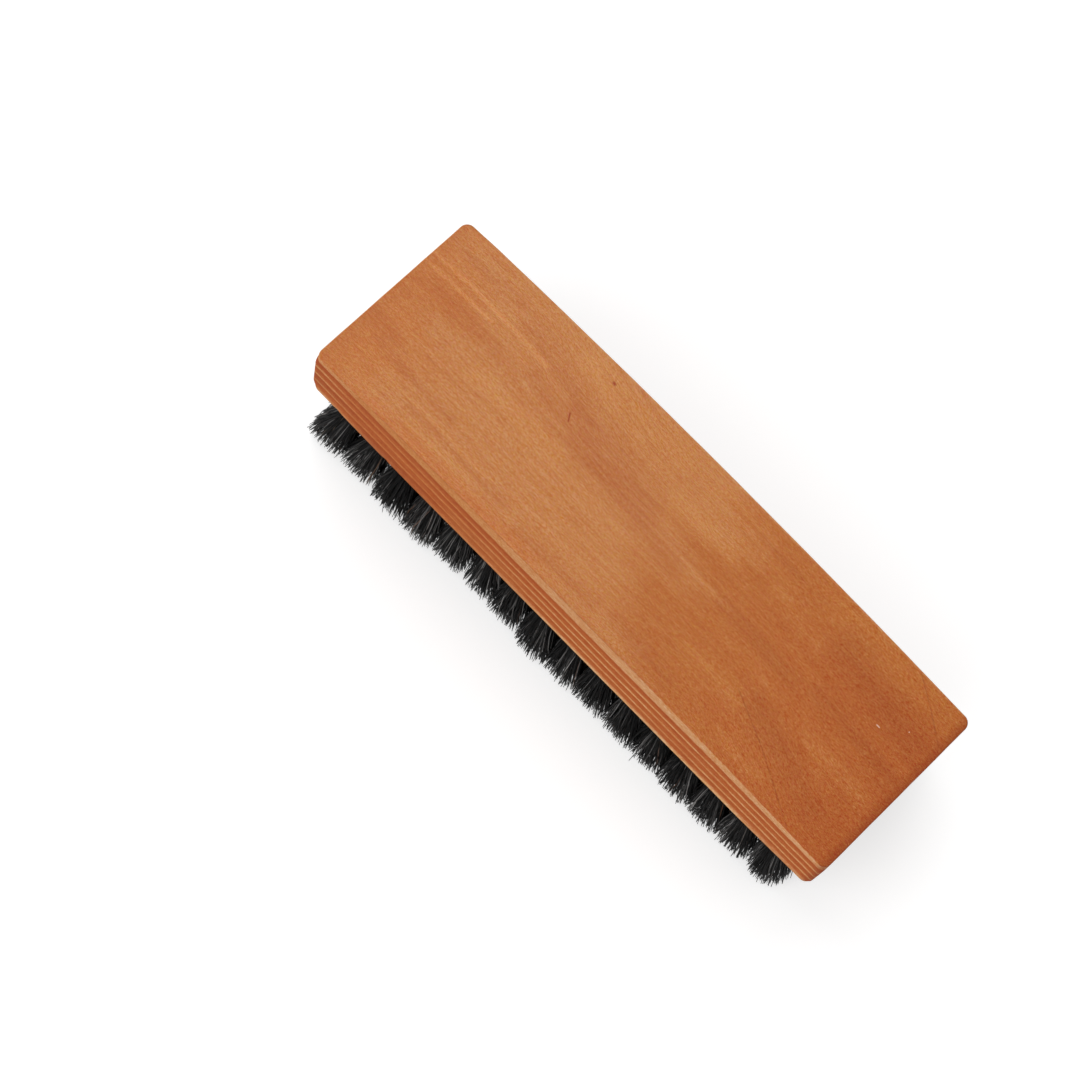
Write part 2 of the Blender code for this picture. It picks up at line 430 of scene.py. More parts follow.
# Figure and marks of the back, in millimetres from its middle: from where, to where, how wide
SHADES = [
    ((-58, 18.2), (-37, 13.2), 6.5),
    ((-37, 13.2), (-5, 5.8), 7.5),
    ((-84, 8.2), (-50, 6.2), 3.8),
    ((-48, 8.6), (-24, 3.4), 6.5),
    ((-24, 3.4), (9, 0.6), 7.0),
    ((-94, -8), (-80, -9.5), 5.0),
    ((-83, -12.8), (-54, -14.2), 2.4),
    ((-64, -20), (-30, -20.8), 2.4),
    ((-84, 20.8), (-54, 20.2), 2.6),
    ((-22, -22.5), (4, -22.2), 3.4),
    ((20, 21.4), (36, 21), 2.0),
    ((26, 1.6), (52, 1.0), 4.0),
    ((10, -21), (30, -22.6), 4.0),
    ((56, 16.5), (84, 12), 9.0),
    ((50, -11), (76, -18.5), 7.0),
    ((58, 3), (86, 1), 5.0),
]
DEEP_SHADES = [((-34, 10.5), (-22, 6.0), 5.5), ((-22, 6.0), (-4, 3.6), 7.0)]
GLOWS = [
    ((-40, 21.5), (-8, 20.5), 6.5),
    ((-58, -1.5), (-30, -2.5), 5.0),
    ((-84, -17), (-35, -18.3), 1.1),
    ((-60, -23), (-36, -23.4), 2.4),
    ((0, 12), (20, 12), 4.5),
    ((6, 23.4), (24, 22.8), 3.0),
    ((33, 13.5), (50, 12), 4.0),
    ((66, -6.5), (84, -7.5), 4.0),
    ((28, -13), (46, -13.6), 2.6),
    ((48, -22), (62, -22.6), 3.6),
]
PALE_STREAKS = [
    ((-95, 14.8), (-72, 14.7), 1.3),
    ((-72, 14.7), (-48, 13.1), 1.3),
    ((-95, 11.4), (-66, 11.4), 0.9),
]
HAIRLINES = [
    ((43.5, -10.6), (57.5, -16.6), 0.28),
    ((57.5, -16.6), (76, -26.2), 0.3),
    ((72.0, 26.5), (80.5, 21.4), 0.35),
    ((80.5, 21.4), (88.5, 16.0), 0.35),
]
SCRATCHES = [
    ((27.1, 10.2), (25.0, -0.6), 0.35),
    ((22.1, -12.3), (18.8, -22.3), 0.35),
    ((68.9, -16.8), (71.0, -18.6), 0.3),
    ((43.9, -22.8), (43.6, -24.6), 0.3),
]
SPECKS = [((73.8, 8.5), (74.7, 8.5), 0.22), ((80.7, 13.3), (80.7, 13.2), 0.2)]
PIN_KNOT = ((-33.0, 22.4), (-32.6, 22.3), 0.75)
VESSEL_MARK = ((-34.9, 8.6), (-33.7, 6.8), 0.42)

# How strong they are, and how the grain breaks them up: from and to which value of it, and how far
SHADE_DEPTH = 0.23
DEEP_SHADE_DEPTH = 0.25
GLOW_DEPTH = 0.15
FIGURE_BREAKS = (0.3, 0.65, 0.5, 1.0)
STREAK_BREAKS = (0.3, 0.6, 0.2, 0.46)
HAIRLINE_BREAKS = (0.35, 0.6, 0.26, 0.5)
KNOT_DEPTH = 0.85
SCRATCH_DEPTH = 0.09
SPECK_DEPTH = 0.8

# How far the grain moves the figure's tones along the back and feathers its edges, in millimetres
TONE_DRIFT = 70.0
FEATHER = 6.0

# Finish of the oiled wood
BACK_ROUGHNESS = 0.34
SIDE_ROUGHNESS_GAIN = 0.3
FLECK_ROUGHNESS = 0.2
WOOD_SPECULAR = 0.22
WOOD_BUMP = 0.35
WOOD_BUMP_HEIGHT = 0.06
FIBRE_RELIEF = 0.5
VESSEL_RELIEF = 0.5

# Tones of a hair by its own number, from black over grey to the few brown and light ones, the grey and
# light ones partly painted glints along the strands, paler tips partly painted glint, painted shade
# towards the root, and its finish
HAIR_TONES_AND_GLINTS = [
    (0.0, linear(4, 4, 4)),
    (0.25, linear(8, 8, 8)),
    (0.45, linear(32, 31, 31)),
    (0.9, linear(168, 165, 163)),
    (0.93, linear(104, 72, 52)),
    (1.0, linear(150, 134, 118)),
]
# Paler tips of the greyer hairs: partly the cut ends' own tone, partly a painted glint
HAIR_CUT_END_AND_GLINT_TONE = linear(120, 110, 104)
HAIR_TIP_REACH = (0.94, 1.0)
HAIR_TIP_GREYS = (0.3, 0.8, 0.0, 0.4)
# Painted shade: each hair darkened towards its root, where the block keeps the light off
HAIR_ROOT_SHADE_TONE = linear(8, 7, 7)
HAIR_ROOT_SHADE_REACH = (0.1, 0.5, 0.8, 0.0)
HAIR_ROUGHNESS = 0.28
HAIR_ROUGHNESS_RANGE = 0.3
HAIR_SPECULAR = 0.16
HAIR_BUMP = 0.2
HAIR_BUMP_HEIGHT = 0.01
HAIR_STREAKS = (90.0, 5.0, 1.0)


def union(surface, place, marks):
    """1 on any of these strokes."""
    total = surface.stroke(place, *marks[0])
    for mark in marks[1:]:
        total = surface.math("MAXIMUM", total, surface.stroke(place, *mark))
    return total


def swing(surface, colour, amount, strength, parts):
    """The colour with fibre after fibre deeper or brighter, most of all in its blue."""
    reach = [2.0 * strength * part for part in parts]
    least = [1.0 - strength * part for part in parts]
    factor = surface.vector("MULTIPLY_ADD", amount, reach, least)
    factor = surface.vector("MAXIMUM", factor, (LEAST_SWING,) * 3)
    return surface.vector("MULTIPLY", colour, factor)


def spread(surface, amount, factor):
    """The noise with its distance from one half made this many times larger."""
    return surface.math("MULTIPLY_ADD", surface.math("SUBTRACT", amount, 0.5), factor, 0.5)


def side_stops(tones):
    """Tones up the block's side: a painted highlight along the lower edge, thin pale lines, wood darkest
    under each, and a pale layer on top, partly painted highlight.
    """
    stops = [(0.0, tones["edge"]), (LOWER_HIGHLIGHT_LINE, tones["edge"]), (LOWER_HIGHLIGHT_LINE + LOWER_HIGHLIGHT_FADE, tones["middle"])]
    for height in RING_LINES:
        stops += [(height + offset, tones[name]) for offset, name in LINE_PROFILE]
    stops += [(RING_TOP + offset, tones[name]) for offset, name in TOP_PROFILE]
    return [(height / RING_SCALE, tone) for height, tone in stops]


def ring_height(s, place):
    """Height above the underside, bent as the growth rings bend."""
    x, y, z = s.parts(place)
    from_side = s.math("SUBTRACT", (BLOCK_WIDTH / 2) ** 2, s.math("MULTIPLY", y, y))
    bow = s.math("DIVIDE", from_side, 2 * RING_RADIUS)
    slope = s.math("MULTIPLY_ADD", x, RING_SAG / (BLOCK_LENGTH / 2) ** 2, RING_TILT)
    sag = s.math("MULTIPLY", x, slope)
    ring = s.math("SUBTRACT", s.math("ADD", s.math("SUBTRACT", z, UNDERSIDE), bow), sag)
    waver = s.noise(place, RING_WAVER_WAVES)
    ring = s.math("ADD", ring, s.math("MULTIPLY_ADD", waver, RING_WAVER, -RING_WAVER / 2))
    opened = s.math("MULTIPLY", s.math("SUBTRACT", ring, RING_LINES[1]), s.band(x, *RING_OPENING))
    ring = s.math("ADD", ring, opened)
    jitter = s.noise(place, RING_JITTER_WAVES)
    return s.math("ADD", ring, s.math("MULTIPLY_ADD", jitter, RING_JITTER, -RING_JITTER / 2))


def side_tone(s, place):
    """The sides: growth rings, clearer in some parts than in others, painted highlights along the lower
    and upper edges, and a few patches off their tone.
    """
    x = s.parts(place)[0]
    ring = ring_height(s, place)
    share = s.math("DIVIDE", ring, RING_SCALE)
    clear = s.ramp(share, side_stops(CLEAR_RINGS))
    dull = s.ramp(share, side_stops(DULL_RINGS))
    tone = s.mix(s.math("MAXIMUM", s.band(x, *CLEAR_RIGHT), s.band(x, *CLEAR_LEFT)), dull, clear)
    for rise, fall, ring_rise, ring_fall, depth, patch_tone in SIDE_PATCHES:
        patch = s.math("MULTIPLY", s.stretch(x, rise, fall), s.stretch(ring, ring_rise, ring_fall))
        tone = s.mix(s.math("MULTIPLY", patch, depth), tone, patch_tone)
    faint = s.band(s.noise(place, *FAINT_GRAIN), *FAINT_STEP)
    under_top = s.band(ring, RING_TOP + TOP_PROFILE[0][0], RING_TOP, 1.0, 0.0)
    return s.mix(s.math("MULTIPLY", faint, under_top), tone, SIDE_MIDDLE)


def back_tone(s, place, laid):
    """The back: paler towards one end, partly its own tone and partly painted sheen and light, with a soft
    figure, pale streaks, hairlines, a painted highlight on the far rim and painted shade along the near
    one.
    """
    x, y, _ = s.parts(place)
    near, far = -BLOCK_WIDTH / 2, BLOCK_WIDTH / 2
    drift = s.noise(laid, *DRIFT_GRAIN)
    slid = s.math("ADD", x, s.math("MULTIPLY_ADD", drift, TONE_DRIFT, (BLOCK_LENGTH - TONE_DRIFT) / 2))
    # Paler towards -X: partly the wood's own tone, partly painted sheen and light
    tone = s.ramp(s.math("DIVIDE", slid, BLOCK_LENGTH), BACK_TONE_AND_SHEEN_STOPS, "EASE")
    far_part = s.math("MULTIPLY", s.band(y, *FAR_PART), s.band(x, *FAR_PART_BEGINS))
    tone = s.mix(far_part, tone, BACK_FAR)

    feather = s.math("MULTIPLY_ADD", s.noise(place, *FEATHER_GRAIN), FEATHER, -FEATHER / 2)
    feathered = s.joined(x, s.math("ADD", y, feather), 0.0)
    broken = s.noise(place, *BROKEN_GRAIN)
    kept = s.band(broken, *FIGURE_BREAKS)
    shade_tone = s.mix(s.band(x, *DARKER_SHADES), BACK_DARK, BACK_DARKER)
    figure = (
        (SHADES, SHADE_DEPTH, shade_tone),
        (DEEP_SHADES, DEEP_SHADE_DEPTH, BACK_DARK),
        (GLOWS, GLOW_DEPTH, BACK_GLOW),
    )
    for marks, depth, mark_tone in figure:
        mark = s.math("MULTIPLY", union(s, feathered, marks), kept)
        tone = s.mix(s.math("MULTIPLY", mark, depth), tone, mark_tone)
    pale = s.math("MULTIPLY", union(s, place, PALE_STREAKS), s.band(broken, *STREAK_BREAKS))
    tone = s.mix(pale, tone, STREAK_PALE)
    hairline = s.math("MULTIPLY", union(s, place, HAIRLINES), s.band(broken, *HAIRLINE_BREAKS))
    tone = s.mix(hairline, tone, BACK_DARKER)

    # Painted highlight along the far rim's eased edge, partly wear
    begins, full, depth = FAR_RIM_HIGHLIGHT
    tone = s.mix(s.band(y, far - begins, far - full, 0.0, depth), tone, SIDE_PALE_AND_HIGHLIGHT)
    # Painted shade: a thin darker line just inside the near rim, where the edge begins to turn over
    full, ends, depth = NEAR_EDGE_SHADE
    tone = s.mix(s.band(y, near + full, near + ends, depth, 0.0), tone, BACK_DARK)
    full, ends = REDDER_DEPTH
    redder = s.math("MULTIPLY", s.stretch(x, REDDER_RISE, REDDER_FALL), REDDER_SHARE)
    redder = s.math("MULTIPLY", redder, s.band(y, near + full, near + ends, 1.0, 0.0))
    return s.mix(redder, tone, SIDE_MIDDLE)


def turned(s, place, dip_turn, curl_turn):
    """Places along the grain, which turns aside from the length over these two stretches of the width."""
    x, y, z = s.parts(place)
    dip = s.math("MULTIPLY", s.band(x, *DIP_REACH), s.band(y, *dip_turn, 0.0, FIGURE_DIP))
    curl = s.math("MULTIPLY", s.band(x, *CURL_REACH), s.band(y, *curl_turn, FIGURE_CURL, 0.0))
    return s.joined(x, s.math("ADD", y, s.math("ADD", dip, curl)), z)


def share_on_side(s, place):
    """0 on the back and 1 on the sides, which begin on the eased edge."""
    x, y, z = s.parts(place)
    sagging = s.math("DIVIDE", s.math("MULTIPLY", x, x), 2 * back_radius())
    top = UNDERSIDE + BLOCK_END_HEIGHT + BACK_RISE
    depth = s.math("SUBTRACT", top, s.math("ADD", z, sagging))
    rim = s.band(y, NEAR_RIM[0] - BLOCK_WIDTH / 2, NEAR_RIM[1] - BLOCK_WIDTH / 2, 1.0, 0.0)
    along = s.math("ADD", s.band(x, *NEAR_RIM_RIGHT), s.band(x, *NEAR_RIM_LEFT))
    return s.math("MAXIMUM", s.band(depth, *SIDE_BEGINS), s.math("MULTIPLY", rim, along))


def wood_surface():
    """Oiled close-grained wood: growth rings on its sides, a figure on its back and fibres all over."""
    s = Surface("oiled_wood")
    place = s.vector("MULTIPLY", s.add("ShaderNodeTexCoord").outputs["Object"], (1 / MM,) * 3)
    x = s.parts(place)[0]
    laid = turned(s, place, *FIGURE_TURNS)
    fibres = turned(s, place, *FIBRE_TURNS)
    on_side = share_on_side(s, place)
    colour = s.mix(on_side, back_tone(s, place, laid), side_tone(s, place))
    end = s.math("ADD", s.band(x, *RIGHT_END), s.band(x, *LEFT_END))
    colour = s.mix(end, colour, END_TONE)

    # Grain, coarser and more uneven towards the darker end
    wide = spread(s, s.noise(laid, *WIDE_GRAIN), s.band(x, *WIDE_CHANGE))
    streak = spread(s, s.noise(fibres, *STREAK_GRAIN), s.band(x, *STREAK_CHANGE))
    strand = spread(s, s.noise(fibres, *STRAND_GRAIN), s.band(x, *STRAND_CHANGE))
    mottle = spread(s, s.noise(place, *MOTTLE_GRAIN), on_side)
    coarse = s.band(x, *FINE_CHANGE)
    coarse = s.math("MULTIPLY_ADD", on_side, s.math("SUBTRACT", SIDE_COARSENESS, coarse), coarse)
    fine = s.noise(fibres, *FINE_GRAIN)
    tint = s.noise(fibres, *TINT_GRAIN, "Color")
    tint_share = s.math("MULTIPLY_ADD", on_side, -TINT_LOSS_ON_SIDE, TINT_SHARE)
    colour = swing(s, colour, wide, WIDE, WIDE_SWING)
    colour = swing(s, colour, streak, STREAK, WIDE_SWING)
    colour = swing(s, colour, strand, STRAND, SWING)
    colour = swing(s, colour, mottle, MOTTLE, SIDE_SWING)
    colour = swing(s, colour, s.mix(tint_share, spread(s, fine, coarse), tint), FINE, SWING)
    flecks = s.noise(fibres, *FLECK_GRAIN)
    fleck = s.band(flecks, *FLECK_STEP)
    colour = s.mix(s.math("MULTIPLY", fleck, FLECK_DEPTH), colour, FLECK_TONE)
    pores = s.band(s.noise(place, *PORE_GRAIN), *PORE_STEP)
    colour = s.mix(s.math("MULTIPLY", pores, s.band(x, *PORE_CHANGE)), colour, PORE_TONE)

    on_back = s.math("SUBTRACT", 1.0, on_side)
    knot = s.math("MULTIPLY", s.stroke(place, *PIN_KNOT), on_back)
    vessel = s.math("MULTIPLY", s.stroke(place, *VESSEL_MARK), on_back)
    scratch = union(s, place, SCRATCHES)
    speck = s.math("MULTIPLY", union(s, place, SPECKS), on_back)
    colour = s.mix(s.math("MULTIPLY", knot, KNOT_DEPTH), colour, KNOT_TONE)
    colour = s.mix(s.math("MULTIPLY", vessel, KNOT_DEPTH), colour, KNOT_TONE)
    colour = s.mix(s.math("MULTIPLY", scratch, SCRATCH_DEPTH), colour, SIDE_PALE_AND_HIGHLIGHT)
    colour = s.mix(s.math("MULTIPLY", speck, SPECK_DEPTH), colour, SPECK_TONE)

    s.feed(s.shader.inputs["Base Color"], colour)
    gloss = s.math("MULTIPLY_ADD", on_side, SIDE_ROUGHNESS_GAIN, BACK_ROUGHNESS)
    s.feed(s.shader.inputs["Roughness"], s.math("MULTIPLY_ADD", flecks, FLECK_ROUGHNESS, gloss))
    s.shader.inputs["Specular IOR Level"].default_value = WOOD_SPECULAR
    relief = s.math("SUBTRACT", s.math("MULTIPLY", fine, FIBRE_RELIEF), fleck)
    relief = s.math("SUBTRACT", relief, s.math("MULTIPLY", vessel, VESSEL_RELIEF))
    s.bump(relief, WOOD_BUMP, WOOD_BUMP_HEIGHT)
    return s.material


def hair_surface():
    """Black hair, its greyer hairs and paler tips partly painted glints and its roots darkened by painted
    shade. The bake map's first number is the hair's own tone and the second runs along it.
    """
    s = Surface("black_hair")
    baked = s.add("ShaderNodeUVMap", uv_map="OFBake").outputs[0]
    tone, along, _ = s.parts(baked)
    # The grey and light tones are partly the hairs' own and partly painted glints along the strands
    colour = s.ramp(tone, HAIR_TONES_AND_GLINTS)
    # Paler tips: partly the cut ends' own tone, partly a painted glint
    tip = s.math("MULTIPLY", s.band(along, *HAIR_TIP_REACH), s.band(tone, *HAIR_TIP_GREYS))
    colour = s.mix(tip, colour, HAIR_CUT_END_AND_GLINT_TONE)
    # Painted shade towards the root, under the block
    colour = s.mix(s.band(along, *HAIR_ROOT_SHADE_REACH), colour, HAIR_ROOT_SHADE_TONE)
    streak = s.noise(baked, HAIR_STREAKS)
    s.feed(s.shader.inputs["Base Color"], colour)
    roughness = s.math("MULTIPLY_ADD", streak, HAIR_ROUGHNESS_RANGE, HAIR_ROUGHNESS)
    s.feed(s.shader.inputs["Roughness"], roughness)
    s.shader.inputs["Specular IOR Level"].default_value = HAIR_SPECULAR
    s.bump(streak, HAIR_BUMP, HAIR_BUMP_HEIGHT)
    return s.material


def back_radius():
    half = BLOCK_LENGTH / 2
    return (half**2 + BACK_RISE**2) / (2 * BACK_RISE)


def back_height(x):
    """Height of the arched back above the underside."""
    return BLOCK_END_HEIGHT + math.sqrt(back_radius() ** 2 - x**2) - (back_radius() - BACK_RISE)


def corner_radius(share):
    """Radius of the upright corners at this share of the height: they are sanded rounder at both rims."""
    from_rim = min(share, 1.0 - share) * BLOCK_END_HEIGHT
    depth = smooth_step(0.0, ROUNDING_DEPTH, from_rim)
    return CORNER_ROUNDING + (CORNER_RADIUS - CORNER_ROUNDING) * depth


def plan_stations(radius):
    """Places along X and the plan's half-width there, with outward directions, at this corner radius."""
    half, across = BLOCK_LENGTH / 2, BLOCK_WIDTH / 2
    made = []
    for step in range(CORNER_STEPS):
        angle = math.pi / 2 * step / CORNER_STEPS
        x = -half + radius * (1 - math.cos(angle))
        made.append((x, across - radius * (1 - math.sin(angle)), -math.cos(angle), math.sin(angle)))
    straight = BLOCK_LENGTH - 2 * radius
    for step in range(LENGTH_STEPS + 1):
        made.append((-half + radius + straight * step / LENGTH_STEPS, across, 0.0, 1.0))
    made += [(-x, w, -nx, nw) for x, w, nx, nw in reversed(made[:CORNER_STEPS])]
    return made


def outline(radius):
    """The block's plan from above, once round, as places and outward directions."""
    stations = plan_stations(radius)
    near = [(x, -w, nx, -nw) for x, w, nx, nw in stations]
    far = [(x, w, nx, nw) for x, w, nx, nw in reversed(stations)]
    reach = stations[0][1]
    ends = [reach * (2 * step / WIDTH_STEPS - 1) for step in range(1, WIDTH_STEPS)]
    half = BLOCK_LENGTH / 2
    right = [(half, y, 1.0, 0.0) for y in ends]
    left = [(-half, -y, -1.0, 0.0) for y in ends]
    return near + right + far + left


def edge_radii(x):
    """Radii of the eased edges here: the lower one grows to both ends, the upper one to the end at -X."""
    end = LOWER_END_RADII[0 if x < 0 else 1]
    low = LOWER_EDGE_RADIUS + (end - LOWER_EDGE_RADIUS) * smooth_step(*LOWER_EDGE_GROWS, abs(x))
    growth = (UPPER_END_RADIUS - UPPER_EDGE_RADIUS) * smooth_step(*UPPER_EDGE_GROWS, -x)
    return low, UPPER_EDGE_RADIUS + growth


def levels():
    """Rows up the block's wall: the share of the lower and upper radius each is drawn in by, its share
    of the height, and the shares of the two radii it is raised by."""
    made = []
    for step in range(EDGE_STEPS + 1):
        angle = math.pi / 2 * step / EDGE_STEPS
        made.append((1 - math.sin(angle), 0.0, 0.0, 1 - math.cos(angle), 0.0))
    for step in range(1, WALL_STEPS):
        share = step / WALL_STEPS
        made.append((0.0, 0.0, share, 1 - share, -share))
    for step in range(EDGE_STEPS + 1):
        angle = math.pi / 2 * step / EDGE_STEPS
        made.append((0.0, 1 - math.cos(angle), 1.0, 0.0, math.sin(angle) - 1))
    return made


def worn(place, outward, share):
    """How far the wood is worn in at this place on the wall: a slow waver and nicks in the lower edge."""
    x, y = place
    waver = sum(part * math.sin(x * by_x + y * by_y + start) for part, by_x, by_y, start in EDGE_WAVES)
    most = sum(part for part, _, _, _ in EDGE_WAVES)
    edge = min(1.0, abs(share - 0.5) * 2) ** WEAR_POWER
    inward = EDGE_WAVER * 0.5 * (1 + waver / most) * edge
    for nick_x, side in NICKS:
        if share < NICK_HEIGHT and y * side > 0 and abs(outward[1]) > 0.5:
            away = (x - nick_x) / NICK_REACH
            inward += NICK_DEPTH * math.exp(-away * away) * (1 - share / NICK_HEIGHT)
    return inward


def add_walls(bm, rings):
    """Faces between each ring of points and the next."""
    for lower, upper in zip(rings, rings[1:]):
        for index in range(len(lower)):
            after = (index + 1) % len(lower)
            bm.faces.new((lower[index], lower[after], upper[after], upper[index]))


def block_mesh():
    """The block as one closed surface, in millimetres."""
    bm = bmesh.new()
    rings = []
    for low_in, high_in, share, low_up, high_up in levels():
        ring = []
        for x, y, nx, ny in outline(corner_radius(share)):
            low, high = edge_radii(x)
            drawn = low * low_in + high * high_in + worn((x, y), (nx, ny), share)
            px, py = x - nx * drawn, y - ny * drawn
            height = share * back_height(x) + low * low_up + high * high_up
            ring.append(bm.verts.new((px, py, UNDERSIDE + height)))
        rings.append(ring)
    add_walls(bm, rings)
    bm.faces.new(list(reversed(rings[0])))
    add_back(bm, rings[-1])
    return bm


def add_back(bm, rim):
    """The arched back, in rows from the near side to the far one."""
    count = len(plan_stations(CORNER_ROUNDING))
    near = rim[:count]
    right = rim[count : count + WIDTH_STEPS - 1]
    far = list(reversed(rim[count + WIDTH_STEPS - 1 : 2 * count + WIDTH_STEPS - 1]))
    left = list(reversed(rim[2 * count + WIDTH_STEPS - 1 :]))
    rows = []
    for index, (a, b) in enumerate(zip(near, far)):
        if index == 0:
            rows.append([a, *left, b])
        elif index == count - 1:
            rows.append([a, *right, b])
        else:
            shares = [step / WIDTH_STEPS for step in range(1, WIDTH_STEPS)]
            rows.append([a, *(bm.verts.new(a.co.lerp(b.co, share)) for share in shares), b])
    for row, following in zip(rows, rows[1:]):
        for index in range(WIDTH_STEPS):
            bm.faces.new((row[index], following[index], following[index + 1], row[index + 1]))


def new_object(name, mesh):
    made = bpy.data.objects.new(name, mesh)
    bpy.context.scene.collection.objects.link(made)
    return made


def mesh_from(bm, name):
    bmesh.ops.recalc_face_normals(bm, faces=bm.faces)
    bmesh.ops.scale(bm, verts=bm.verts, vec=(MM,) * 3)
    mesh = bpy.data.meshes.new(name)
    bm.to_mesh(mesh)
    bm.free()
    return mesh


def tuft_places():
    """Column number, row number and place of each tuft."""
    for column in range(TUFT_COLUMNS):
        for row in range(TUFT_ROWS):
            x = (column - (TUFT_COLUMNS - 1) / 2) * COLUMN_PITCH
            y = (row - (TUFT_ROWS - 1) / 2) * ROW_PITCH
            yield column, row, x, y


def drill_mesh():
    """What the drill takes out of the underside: blind holes with broken rims and pointed bottoms."""
    bm = bmesh.new()
    point_radius, point_depth = DRILL_POINT
    profile = [
        (HOLE_RADIUS + HOLE_RIM + DRILL_OVERSHOOT, -DRILL_OVERSHOOT),
        (HOLE_RADIUS, HOLE_RIM),
        (HOLE_RADIUS, HOLE_DEPTH),
        (point_radius, HOLE_DEPTH + point_depth),
    ]
    for _, _, x, y in tuft_places():
        rings = []
        for radius, height in profile:
            ring = []
            for step in range(HOLE_SIDES):
                angle = 2 * math.pi * step / HOLE_SIDES
                across, along = radius * math.cos(angle), radius * math.sin(angle)
                ring.append(bm.verts.new((x + across, y + along, UNDERSIDE + height)))
            rings.append(ring)
        add_walls(bm, rings)
        bm.faces.new(list(reversed(rings[0])))
        bm.faces.new(rings[-1])
    return bm


def make_block(surface):
    block = new_object("wooden_block", mesh_from(block_mesh(), "wooden_block"))
    drill = new_object("drill", mesh_from(drill_mesh(), "drill"))
    cut = block.modifiers.new("tuft_holes", "BOOLEAN")
    cut.operation = "DIFFERENCE"
    cut.solver = "EXACT"
    cut.object = drill
    bpy.context.view_layer.update()
    seen = block.evaluated_get(bpy.context.evaluated_depsgraph_get())
    drilled = bpy.data.meshes.new_from_object(seen)
    block.modifiers.clear()
    block.data = drilled
    bpy.data.objects.remove(drill, do_unlink=True)
    block.data.shade_smooth()
    block.data.set_sharp_from_angle(angle=math.radians(SHARP_ANGLE))
    block.data.materials.clear()
    block.data.materials.append(surface)
    return block


def sunflower(count, turn):
    """Points spread evenly over the unit disc."""
    index = np.arange(count) + 0.5
    angle = index * math.pi * (3 - math.sqrt(5)) + turn
    radius = np.sqrt(index / count)
    return radius * np.cos(angle), radius * np.sin(angle)


def squared(unit_x, unit_y, power):
    """Points of the unit disc moved out towards a square's corners, the more the greater the power."""
    angle = np.arctan2(unit_y, unit_x)
    stretch = (np.abs(np.cos(angle)) ** power + np.abs(np.sin(angle)) ** power) ** (-1 / power)
    return unit_x * stretch, unit_y * stretch


def leaned(place, outermost, lean, power):
    """Where a tuft's middle ends at the tips: the outer tufts lean out, the inner ones hardly."""
    share = place / outermost
    return place + lean * math.copysign(abs(share) ** power, share)


